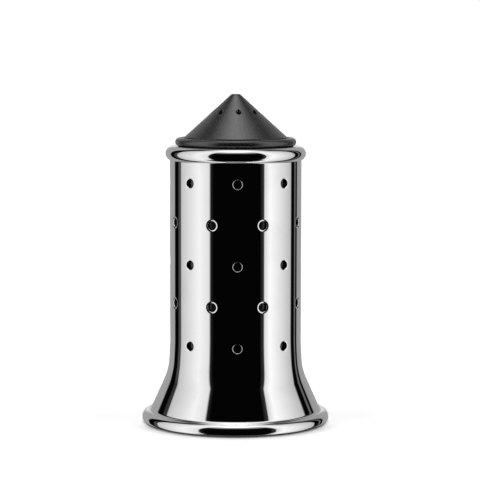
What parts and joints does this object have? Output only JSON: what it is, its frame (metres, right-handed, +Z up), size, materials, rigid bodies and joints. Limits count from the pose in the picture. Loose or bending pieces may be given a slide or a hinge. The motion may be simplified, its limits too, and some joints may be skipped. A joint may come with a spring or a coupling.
{
  "type": "salt shaker",
  "caption": "Polished steel salt shaker with a flared foot, pierced tube over a black container, and a black conical screw cap with pour holes.",
  "frame": {"origin": "on the shaker's axis, on the table that it stands on", "axes": "+Z up along the axis of the tube and the cap; -Y is the side that faces the camera in the picture"},
  "size_m": [0.06, 0.06, 0.1054],
  "materials": {
    "polished_steel": "mirror-polished stainless steel",
    "gloss_black_plastic": "glossy black moulded plastic",
    "matt_black_plastic": "finely textured matt black moulded plastic",
    "black_rubber": "black rubber"
  },
  "bodies": {
    "body": {"body_shell": "polished_steel", "rim_ring": "polished_steel", "base_ring": "polished_steel", "salt_container": "gloss_black_plastic", "base_plate": "matt_black_plastic", "non_slip_ring": "black_rubber"},
    "gasket": {"cap_gasket": "black_rubber"},
    "cap": {"screw_cap": "matt_black_plastic"}
  },
  "joints": [
    {"name": "cap_rise", "type": "slide", "parent": "body", "child": "gasket", "axis": [0, 0, 1], "range_m": [0, 0.006]},
    {"name": "cap_turn", "type": "hinge", "parent": "gasket", "child": "cap", "pos_m": [0, 0, 0.08884], "axis": [0, 0, 1], "range_deg": [0, 720]}
  ],
  "couplings": [
    {"joint": "cap_rise", "follows": "cap_turn", "m_per_rad": 0.00047746}
  ]
}
